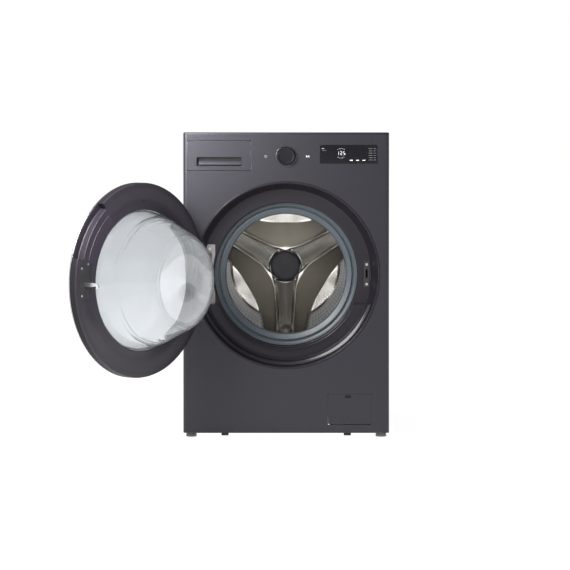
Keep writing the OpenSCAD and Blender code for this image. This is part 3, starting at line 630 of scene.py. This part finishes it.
def flat_marks(name, loops, d, body, look, slot="display_gloss"):
    """Thin printed marks: each loop is one flat shape at depth d, facing the front."""
    verts, faces = [], []
    for loop in loops:
        base = len(verts)
        verts += [at(x, d, z) for x, z in loop]
        verts += [at(x, d + 0.06, z) for x, z in loop]
        n = len(loop)
        faces.append(tuple(range(base, base + n)))
        faces.append(tuple(range(base + n, base + 2 * n)))
        faces += [(base + k, base + (k + 1) % n, base + n + (k + 1) % n, base + n + k) for k in range(n)]
    return piece_from(name, verts, faces, body, slot, look=look)


def bar(cx, cz, w, h):
    """A rectangle's outline about its middle."""
    left, right, low, high = cx - w / 2, cx + w / 2, cz - h / 2, cz + h / 2
    return [(left, low), (right, low), (right, high), (left, high)]


SEGMENTS = {"1": "bc", "2": "abged", "5": "afgcd"}
SEGMENT_GAP = 0.3


def digit(char, cx, cz, w, h, t):
    """Seven-segment strokes of one digit."""
    level, upright = (w - SEGMENT_GAP, t - SEGMENT_GAP), (t - SEGMENT_GAP, h / 2 - SEGMENT_GAP)
    places = {
        "a": (0, h / 2, level), "g": (0, 0, level), "d": (0, -h / 2, level),
        "f": (-w / 2, h / 4, upright), "b": (w / 2, h / 4, upright),
        "e": (-w / 2, -h / 4, upright), "c": (w / 2, -h / 4, upright),
    }
    return [bar(cx + places[k][0], cz + places[k][1], *places[k][2]) for k in SEGMENTS[char]]


disp_x, disp_z = (shown[0] + shown[1]) / 2, (shown[4] + shown[5]) / 2
clock_x, clock_z = disp_x - 26, disp_z + 4
bright, dim, grey = [], [], []
for char, dx in (("1", -9), ("2", 0.5), ("5", 9)):
    bright += digit(char, clock_x + dx * 1.15, clock_z, 5, 11, 1.4)
for i in range(20):
    a = math.tau * i / 20
    if abs(math.sin(a)) > 0.6:
        grey.append(bar(clock_x + 17 * math.cos(a), clock_z + 16 * math.sin(a), 2.6, 2.0))
for i in range(3):
    bright.append(bar(disp_x + 8 + i * 21, disp_z - 19.5, 9, 2.6))
grey.append(bar(shown[0] + 10, shown[5] - 12, 8, 2.2))
dim.append(bar(shown[0] + 14, shown[5] - 18, 12, 1.5))
for row in range(6):
    for column, width in ((0, 13), (1, 8)):
        dim.append(bar(shown[1] - 24 + column * 14, shown[5] - 12 - row * 7.6, width, 1.7))
flat_marks("display_lit_marks", bright, FACE_D, "cabinet", "print_light")
flat_marks("display_grey_marks", grey, FACE_D, "cabinet", "print_grey")
flat_marks("display_dim_marks", dim, FACE_D, "cabinet", "print_dim")

def arc_mark(cx, cz, r, t, a0, a1, steps=18):
    """One curved stroke, as a closed outline."""
    out = [turned(cx, cz, r + t / 2, a0 + (a1 - a0) * k / steps) for k in range(steps + 1)]
    out += [turned(cx, cz, r - t / 2, a1 + (a0 - a1) * k / steps) for k in range(steps + 1)]
    return out


# touch marks beside the dial: power at its left, play and pause at its right
touch_z = 935
power_mark = [arc_mark(-68, touch_z, 3.4, 1.1, 125, 415), bar(-68, touch_z + 2.6, 1.1, 4)]
play = [(66.4, touch_z - 3.4), (71.4, touch_z), (66.4, touch_z + 3.4)]
pause = [bar(73.4, touch_z, 1.2, 6.6), bar(76, touch_z, 1.2, 6.6)]
flat_marks("touch_power_mark", power_mark, -0.05, "cabinet", "print_grey", slot="body_paint")
flat_marks("touch_start_mark", [play, *pause], -0.05, "cabinet", "print_light", slot="body_paint")

# dial: bright bezel and a spun knob with fine rings
bezel = soften([(32.4, -0.1), (32.4, -1.6), (33.0, -2.5), (33.6, -2.5), (34.4, -1.2), (34.4, -0.1)], 0.4)
lathe("dial_bezel_ring", bezel, "cabinet", "bright_trim", segs=120, centre=(dial_x, dial_z),
      replaces=["dial_bezel"], smooth=50, look="bezel_metal")
knob = span("dial_knob")
knob_r = (knob[1] - knob[0]) / 2
outline = [(0, knob[2] + 1.6)]
for i in range(11):
    r = 1.5 + i * 2.0
    outline += [(r, knob[2] + 1.6), (r + 0.9, knob[2] + 1.45)]
outline += [(24.5, knob[2] + 1.2), (26, knob[2]), (27.8, knob[2])]
outline += [(knob_r - 0.5, knob[2] + 1.4), (knob_r, knob[2] + 3.4)]
for i in range(5):
    outline += [(knob_r, -12 + i * 2.2), (knob_r - 0.35, -11.4 + i * 2.2)]
outline += [(knob_r, -1), (0, -1)]
lathe("dial_knob_cap", outline, "dial", "knob_metal", segs=144, centre=(dial_x, dial_z),
      replaces=["dial_knob"], smooth=30)
lathe("dial_shadow_ring", [(30.2, -0.15), (30.2, -0.75), (32.3, -0.75), (32.3, -0.15)], "cabinet",
      "bright_trim", segs=120, centre=(dial_x, dial_z), look="painted_gap_shadow")

# drain filter's cover with its finger tab
plate("filter_cover_face", [
    rounded(cover_x - cover_w / 2, cover_x + cover_w / 2, cover[4], cover[5], 2.5),
    rounded(cover_x - 15, cover_x + 5, 132, 141, 2.4),
], 0, 1.5, "filter_door", "body_paint", bevel=0.2, replaces=["filter_cover"])
open_box("filter_cover_tab", cover_x - 15.5, cover_x + 5.5, 1.4, 7, 131.5, 141.5, "filter_door",
         "black_plastic", thick=0.6)

# door gasket: bellows that follow the cabinet at the front and the tub behind
gasket = soften([
    (240.2, 60), (240.2, 76), (237, 80), (237, 104), (232.2, 104), (232.2, 91.5), (229, 87), (214, 87),
    (209.5, 92), (208, 118), (203.5, 118), (201.5, 84), (204, 78), (214, 73), (221, 70), (223, 75), (226, 75),
    (228, 67), (234, 63.5), (236, 60)], 2.2, steps=4)
boot = lathe("door_gasket_boot", gasket, None, "gasket_rubber", segs=240, replaces=["door_gasket"], smooth=60)
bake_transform(boot)

# ---------------------------------------------------------------- drum
ARMS = (270, 30, 150)  # the angles of the pressed back's three arms, and of the lifters
PETALS = (90, 210, 330)  # the angles of the petals, midway between the arms
SHELL_R = 280  # the drum's inner radius
RIM_D = 594.5  # depth of the back's outer rim
PERF_R = 204  # from here out the petals' rims are perforated


def fold(x, z):
    """Where a point lies by its nearest petal: along it, across it, the radius and the angle off it."""
    a = math.degrees(math.atan2(z, x)) % 360
    near = min(PETALS, key=lambda c: abs((a - c + 180) % 360 - 180))
    b = math.radians((a - near + 180) % 360 - 180)
    r = math.hypot(x, z)
    return r * math.cos(b), abs(r * math.sin(b)), r, b


def step(x):
    """Rises smoothly from 0 to 1 as x does."""
    x = min(1.0, max(0.0, x))
    return x * x * (3 - 2 * x)


def crease_at(v):
    """How far along a petal its outer crease lies, at v across it."""
    return 152 + v * v / 802


def back_depth(x, z):
    """Depth of the drum's pressed back at a point off its axis."""
    u, v, r, b = fold(x, z)
    # the ridge between a petal and the channels of the two arms beside it, and how far past it u is
    bow = math.sqrt(32 ** 2 + (0.577 * v) ** 2)
    ridge = 30 + bow + 4 * math.exp(-((v / 20) ** 2))
    slope = 0.333 * v / bow
    lean = math.sqrt(1 + slope * slope)
    off = (u - ridge) / lean
    # the arm's channel, from its length and width at this point
    along = max(0.0, r * math.cos(math.radians(60) - abs(b)))
    across = r * math.sin(math.radians(60) - abs(b))
    channel = 598 - 28 * math.exp(-max(0.0, along - 50) / 120) - 4.5 * min(1.0, across / 34) ** 2
    # the petal's rising band, and the shallow lens past its crease
    crease = crease_at(v)
    rise = max(0.0, off - 8 * math.exp(-((v / 42) ** 2)))
    band = 562 + rise * 0.40 - 0.1 * min(0.0, off)
    edge = max(0.0, (crease - ridge) / lean)
    past = u - crease
    if past > 0:
        lens = 562 + edge * 0.40 - past * 0.045
        band = band + (lens - band) * step(past / 7)
    # a flare joins the petals to the hub, and the middle is flat behind the cap
    flare = step((u - 53 - 0.42 * v) / 3)
    cover = max(step((off + 9) / 11), flare)
    d = channel + (band - channel) * cover
    if off > 1 or r > 85:
        flare = 0.0
    d = d - 1.5 * math.exp(-((off - 1) / 4.0) ** 2) * (1 - flare) - 1.5 * flare
    if r < 60:
        d = d + (574.5 - d) * step((60 - r) / 4) * (1 - cover)
    petal = step((u - crease + 4) / 8)
    rim = step((r - 193) / 9) * petal
    return d + (RIM_D - d) * max(rim, step((r - 262) / 14))


def petal_half(r):
    """Half the angle that a petal spans at one radius, found by halving."""
    lo, hi = 0.0, r
    for _ in range(40):
        v = (lo + hi) / 2
        if math.sqrt(r * r - v * v) > crease_at(v):
            lo = v
        else:
            hi = v
    return math.asin(lo / r)


rings = [20, 40, 52] + [54 + (279.5 - 54) * i / 112 for i in range(113)]
TURN = 480
verts = [at(0, back_depth(0.01, 0), AXIS_Z)]
faces = []
for r in rings:
    for i in range(TURN):
        a = math.tau * (i + 0.5) / TURN
        x, z = r * math.cos(a), r * math.sin(a)
        verts.append(at(x, back_depth(x, z), AXIS_Z + z))
for i in range(TURN):
    faces.append((0, 1 + i, 1 + (i + 1) % TURN))
for k in range(len(rings) - 1):
    r = (rings[k] + rings[k + 1]) / 2
    near, far = 1 + k * TURN, 1 + (k + 1) * TURN
    for i in range(TURN):
        j = (i + 1) % TURN
        a = math.tau * (i + 1) / TURN
        # the perforated sheets fill what is left out here
        if r > PERF_R and abs(fold(r * math.cos(a), r * math.sin(a))[3]) < petal_half(r) - 0.02:
            continue
        faces.append((near + i, near + j, far + j, far + i))
piece_from("drum_back_pressing", verts, faces, "drum", "drum_steel", smooth=60, replaces=["drum_back"])


def petal_sheet(centre):
    """The surface of the perforated rim of the petal at one angle."""
    def surface(u, v, lift):
        r = PERF_R - 2 + (278 - PERF_R) * u
        half = petal_half(r) - 0.005
        a = math.radians(centre) + half * (2 * v - 1)
        d = RIM_D - 0.3 - 3 * step((r - 262) / 16) + lift
        return at(r * math.cos(a), d, AXIS_Z + r * math.sin(a))
    return surface


# the perforated rims are shown in a pale copy of the drum steel: painted highlight
for number, centre in enumerate(PETALS):
    perforated(f"drum_back_perforated_{number + 1}", 7, 24, petal_sheet(centre), 0.6, "drum", "drum_steel",
               lift=1.2, smooth=40, wrap=False, look="perforated_rim_painted_highlight")


def shell_wall(u, v, lift):
    """The drum's round wall."""
    a = math.tau * v
    return at((SHELL_R + lift) * math.cos(a), 140 + 444 * u, AXIS_Z + (SHELL_R + lift) * math.sin(a))


# the drum's round wall is shown in a darker copy of its steel: painted shade
perforated("drum_shell_perforated", 30, 120, shell_wall, 0.4, "drum", "drum_steel", lift=1.0, smooth=40,
           replaces=["drum_shell"], look="drum_shell_painted_shade")
for name, d0, d1 in (("drum_shell_bands", 127.5, 140.2), ("drum_shell_rear_band", 583.8, 600)):
    lathe(name, soften([(279.9, d0), (279.9, d1), (281.2, d1), (281.2, d0)], 0.3), "drum", "drum_steel",
          segs=200)
lip_profile = soften([
    (212, 127), (214, 122.5), (224, 120.8), (276, 120.8), (282.8, 127), (282.8, 136), (281.4, 136),
    (281.4, 127.3), (275.4, 122.3), (225, 122.3), (215.4, 123.8), (213.5, 127.6), (213.8, 131),
    (212.4, 131)], 1.0)
lathe("drum_front_lip", lip_profile, "drum", "drum_steel", segs=220, replaces=["drum_front_ring"], smooth=50)
hub_profile = soften([(0, 556), (46, 556.6), (53, 559), (55, 562), (55, 573), (0, 573)], 2.0)
lathe("drum_hub_cap", hub_profile, "drum", "hub_plastic", segs=120, replaces=["hub_cap"], smooth=45)

# lifters: hollow pressings with a rounded crown, along the drum at the arms
FOOT_R = 280.5
stations = [150, 154, 162, 175] + [190 + 30 * i for i in range(12)] + [535, 548, 558, 562]
crown = [(0, 227.5), (9, 229.5), (15.5, 236), (19, 246), (27, 268), (40, FOOT_R)]
section = [(-t, r) for t, r in crown[:0:-1]] + crown
section = soften(section, 5, closed=False, steps=2)
n = len(section)
for number, angle in enumerate(ARMS):
    verts, faces = [], []
    a = math.radians(angle)
    for d in stations:
        rise = step(min((d - 149) / 28, (563 - d) / 28))
        for t, r in section:
            wall = math.sqrt(max(0.0, 280.4 ** 2 - t * t))
            height = min(wall, FOOT_R - (FOOT_R - r) * (0.12 + 0.88 * rise))
            x = height * math.cos(a) - t * math.sin(a)
            z = height * math.sin(a) + t * math.cos(a)
            verts.append(at(x, d, AXIS_Z + z))
    for s in range(len(stations) - 1):
        for k in range(n - 1):
            faces.append((s * n + k, s * n + k + 1, (s + 1) * n + k + 1, (s + 1) * n + k))
    faces.append(tuple(range(n)))
    faces.append(tuple(range((len(stations) - 1) * n, len(stations) * n)))
    piece_from(f"drum_lifter_{number + 1}", verts, faces, "drum", "drum_steel", smooth=60,
               replaces=["drum_lifters"] if number == 0 else ())

# ----------------------------------------------------------------- door
# the door's pieces are drawn closed, and turned open with the matrix DOOR
R_DOOR = 310
R_SIDE = 309.4  # the inner frame's side, which the bands cover
BEAD = [(223.5, -5.6), (223.5, -2.6), (224.5, -1.6), (229, -1.6), (231, -3)]  # round the glass


def plain_rim():
    """The inner frame's outline where it is whole."""
    return BEAD + [
        (262, -3.1), (288, -3.1), (304, -3.1), (308, -4.4), (R_SIDE, -8), (R_SIDE, -29), (308.7, -30),
        (307.5, -30), (307.5, -9), (304, -5.6), (286, -5.6), (262, -5.6), (230, -5.6)]


def cut_rim(inner, floor):
    """The same outline, cut away outside the radius inner down to the depth floor."""
    back = inner - 2.5
    return BEAD + [
        (inner - 2, -3.1), (inner, -4.2), (inner, floor + 2.2), (inner + 2, floor), (R_SIDE, floor),
        (R_SIDE, min(-29, floor - 0.3)), (308.7, -30), (inner, -30), (back, -30), (back, -20), (back, -10),
        (back, -5.6), (230, -5.6)]


HANDLE = (15, 53)  # the angles that the hand grip spans
NOTCHES = ((180 - 15.6, 180 - 8.2), (180 + 8.2, 180 + 15.6))  # and those of the hinge's two arms
breaks = [(*HANDLE, 288, -25.5)] + [(a, b, 266, -29.3) for a, b in NOTCHES]
angles, kinds = [], []
STEP = 1.5
a = 0.0
while a < 360:
    inside = [k for k in breaks if k[0] < a < k[1]]
    for start, end, inner, floor in breaks:
        if a <= start < a + STEP:
            angles += [start, start]
            kinds += [None, (inner, floor)]
        if a <= end < a + STEP:
            angles += [end, end]
            kinds += [(inner, floor), None]
    if not any(abs(a - edge) < 1e-6 for k in breaks for edge in k[:2]):
        angles.append(a)
        kinds.append((inside[0][2], inside[0][3]) if inside else None)
    a += STEP
order = sorted(range(len(angles)), key=lambda i: (angles[i], i))
outlines = [plain_rim() if kinds[i] is None else cut_rim(*kinds[i]) for i in order]
ring_of_profiles("door_inner_rim", [angles[i] for i in order], lambda i: outlines[i], "door", "door_plastic",
                 door=True, smooth=35, replaces=["door_inner_frame"])
# dark bands over the frame's side, between the grip and the notches: a darker, duller copy of the door
# plastic, painted shade on the side
edges = (HANDLE[1], *NOTCHES[0], *NOTCHES[1], 360 + HANDLE[0])
band = [(R_SIDE - 0.3, -8.6), (R_SIDE + 0.3, -9), (R_SIDE + 0.3, -28.9), (R_SIDE - 0.3, -29.3)]
for number, (a, b) in enumerate(zip(edges[::2], edges[1::2])):
    lathe(f"door_rim_band_{number + 1}", band, "door", "door_plastic", segs=int((b - a) / STEP),
          ends=lambda r, a=a, b=b: (a + 0.1, b - 0.1), look="rim_side_painted_shade", door=True)
# the grip's two raised edges are lighter than the door plastic round them: painted highlights along the grip
for number, r in enumerate((286.6, 263.6)):
    edge = soften([(r - 0.9, -3), (r - 0.5, -2.3), (r + 0.5, -2.3), (r + 0.9, -3)], 0.3)
    lathe(f"door_grip_edge_{number + 1}", edge, "door", "door_plastic", segs=40,
          ends=lambda r: (HANDLE[0] + 1, HANDLE[1] - 1), look="painted_grip_highlight", door=True)
block("door_latch_plate", lock_x - 22, lock_x + 24, -3.4, -2.1, AXIS_Z - 44, AXIS_Z + 74, "door",
      "door_plastic", bevel=0.5, door=True, look="black_plastic")
for number, (dx, dz) in enumerate(((14, 50), (14, -34), (-14, 62))):
    lathe(f"door_latch_screw_{number + 1}", [(0, -1.3), (2.6, -1.5), (3.4, -2.2), (0, -2.2)], "door",
          "door_plastic", segs=24, centre=(lock_x + dx, AXIS_Z + dz), door=True, look="zinc_steel")
# the door's top vent is a thin near-black patch: painted shadow standing in for its opening
block("door_top_vent", -8, 8, -3.2, -2.9, AXIS_Z + 248, AXIS_Z + 256, "door", "door_plastic", bevel=0.1,
      door=True, look="painted_gap_shadow")
trim_profile = soften([
    (R_DOOR, -30.1), (R_DOOR, -33.4), (307.2, -36.8), (300, -39.5), (288, -41.5), (266, -43.5), (262, -43.5),
    (262, -40.5), (266, -40.5), (287, -38.5), (298, -36.6), (303, -34.5), (304.5, -32), (304.5, -30.1)], 1.2)
lathe("door_trim_ring", trim_profile, "door", "bright_trim", segs=240, door=True,
      replaces=["door_outer_frame"], smooth=50)
cover_profile = [
    (0, -49), (50, -48.85), (100, -48.2), (140, -47.5), (180, -46.5), (215, -45.5), (240, -44.6),
    (261.6, -43.4), (261.6, -40.2), (240, -41.2), (215, -42.2), (180, -43.2), (140, -44.2), (100, -44.9),
    (50, -45.5), (0, -45.7)]
lathe("door_cover_glass", cover_profile, "door", "tinted_glass", segs=200, door=True,
      replaces=["door_outer_glass"], smooth=50)
bowl = soften([
    (240, -10), (240, -5.8), (222.8, -5.8), (217, 12), (208, 38), (202.5, 51), (200, 53), (198.6, 60),
    (195, 63), (192.5, 74), (190, 80), (183, 92), (170, 124), (156, 154), (149, 165), (140, 171), (126, 174),
    (0, 174), (0, 169.5), (124, 169.5), (137, 166.8), (144.5, 161.5), (151, 151.5), (165, 122), (178, 90),
    (185.5, 77), (187.8, 72), (190.5, 62), (195.5, 57), (197, 50), (203, 36), (212, 10), (217, -6.5),
    (217, -10)], 1.2)
lathe("door_glass_bowl_pressed", bowl, "door", "bowl_glass", segs=220, door=True,
      replaces=["door_glass_bowl"], smooth=60)

# ---------------------------------------------------------------- stage
FLOOR_HALF = 300  # metres, so its edge is never seen
floor_mesh = bpy.data.meshes.new("studio_floor")
floor_corners = [(x * FLOOR_HALF, y * FLOOR_HALF, -0.0005) for x, y in ((-1, -1), (1, -1), (1, 1), (-1, 1))]
floor_mesh.from_pydata(floor_corners, [], [(0, 1, 2, 3)])
floor = add_to_scene("studio_floor", floor_mesh)
floor_look = material("pale_floor", (0.5, 0.5, 0.502), 0.8, 0.0, 0.004, 3)
glow = floor_look.node_tree.nodes["Principled BSDF"]
glow.inputs["Emission Color"].default_value = (1, 1, 1, 1)
glow.inputs["Emission Strength"].default_value = 0.86
floor_mesh.materials.append(floor_look)

# a white backdrop behind everything, and to light it a darker room with a bright ceiling and paler sides
world = bpy.data.worlds.new("studio")
bpy.context.scene.world = world
world.use_nodes = True
tree = world.node_tree
link = tree.links.new
backdrop = tree.nodes["Background"]
backdrop.inputs["Color"].default_value = (1, 1, 1, 1)
room = new_node(tree, "Background")
room_coords = new_node(tree, "TexCoord")
room_split = new_node(tree, "SeparateXYZ")
heights = {"From Min": -0.2, "From Max": 0.9, "To Min": 0.07, "To Max": 0.45}
room_level = new_node(tree, "MapRange", heights, interpolation_type="SMOOTHSTEP")
link(room_coords.outputs["Generated"], room_split.inputs["Vector"])
link(room_split.outputs["Z"], room_level.inputs["Value"])
sideways = new_node(tree, "Math", operation="MULTIPLY")
link(room_split.outputs["X"], sideways.inputs[0])
link(room_split.outputs["X"], sideways.inputs[1])
walls = new_node(tree, "Math", {1: 0.35}, operation="MULTIPLY_ADD")
link(sideways.outputs["Value"], walls.inputs[0])
link(room_level.outputs["Result"], walls.inputs[2])
link(walls.outputs["Value"], room.inputs["Strength"])
# the camera and whatever it sees through glass get the backdrop, all else the room
seen = new_node(tree, "LightPath")
direct = new_node(tree, "Math", operation="MAXIMUM")
link(seen.outputs["Is Camera Ray"], direct.inputs[0])
link(seen.outputs["Is Transmission Ray"], direct.inputs[1])
both = new_node(tree, "MixShader")
link(direct.outputs["Value"], both.inputs["Fac"])
link(room.outputs["Background"], both.inputs[1])
link(backdrop.outputs["Background"], both.inputs[2])
link(both.outputs["Shader"], tree.nodes["World Output"].inputs["Surface"])


def area(name, where, aim, size, power):
    """A rectangular lamp that faces a point."""
    light = bpy.data.lights.new(name, "AREA")
    light.shape = "RECTANGLE"
    light.size, light.size_y = size
    light.energy = power
    lamp = add_to_scene(name, light)
    lamp.location = where
    lamp.rotation_euler = (Vector(aim) - Vector(where)).to_track_quat("-Z", "Y").to_euler()
    return lamp


key = area("key", (-0.75, -1.3, 1.35), (-0.2, -0.3, 0.75), (0.8, 0.8), 46)
area("left_panel", (-3.6, -1.5, 1.1), (0, -0.36, 0.7), (1.0, 2.2), 9)
area("fill", (2.8, -3.2, 1.6), (0, 0, 0.5), (1.2, 2.2), 2)
area("right_panel", (2.6, 0.1, 0.2), (-0.3, -0.73, 0.45), (1.6, 0.42), 4.5)

# the key light stays out of the drum and off the door's glass bowl
shaded = bpy.data.collections.new("out_of_the_key_light")
for piece in bpy.data.objects:
    if piece.type == "MESH" and (piece.name.startswith("drum_") or piece.name == "door_glass_bowl_pressed"):
        shaded.objects.link(piece)
key.light_linking.receiver_collection = shaded
for entry in shaded.collection_objects:
    entry.light_linking.link_state = "EXCLUDE"

# soft lamps just inside the drum's mouth, which face its back: angle, radius, width, height and watts
DRUM_LAMPS = ((90, 214, 0.22, 0.07, 0.3), (200, 226, 0.26, 0.07, 0.5), (340, 226, 0.26, 0.07, 0.5),
              (270, 26, 0.15, 0.15, 0.14))
for number, (angle, r, wide, tall, power) in enumerate(DRUM_LAMPS):
    a = math.radians(angle)
    place = at(r * math.cos(a), 122, AXIS_Z + r * math.sin(a))
    lamp = area(f"drum_lamp_{number + 1}", place, place + Vector((0, 1, 0)), (wide, tall), power)
    lamp.rotation_euler = (math.radians(90), math.radians(90 - angle), 0)
    lamp.visible_camera = False

camera = bpy.data.cameras.new("camera")
camera.lens = 110.5
camera.sensor_width = 36
camera.shift_x = 0.0158
camera.shift_y = -0.2035
viewer = add_to_scene("camera", camera)
viewer.location = (-0.034, -6.179, 0.893)
viewer.rotation_euler = (math.radians(90), 0, 0)
bpy.context.scene.camera = viewer
bpy.context.scene.view_settings.view_transform = "Standard"
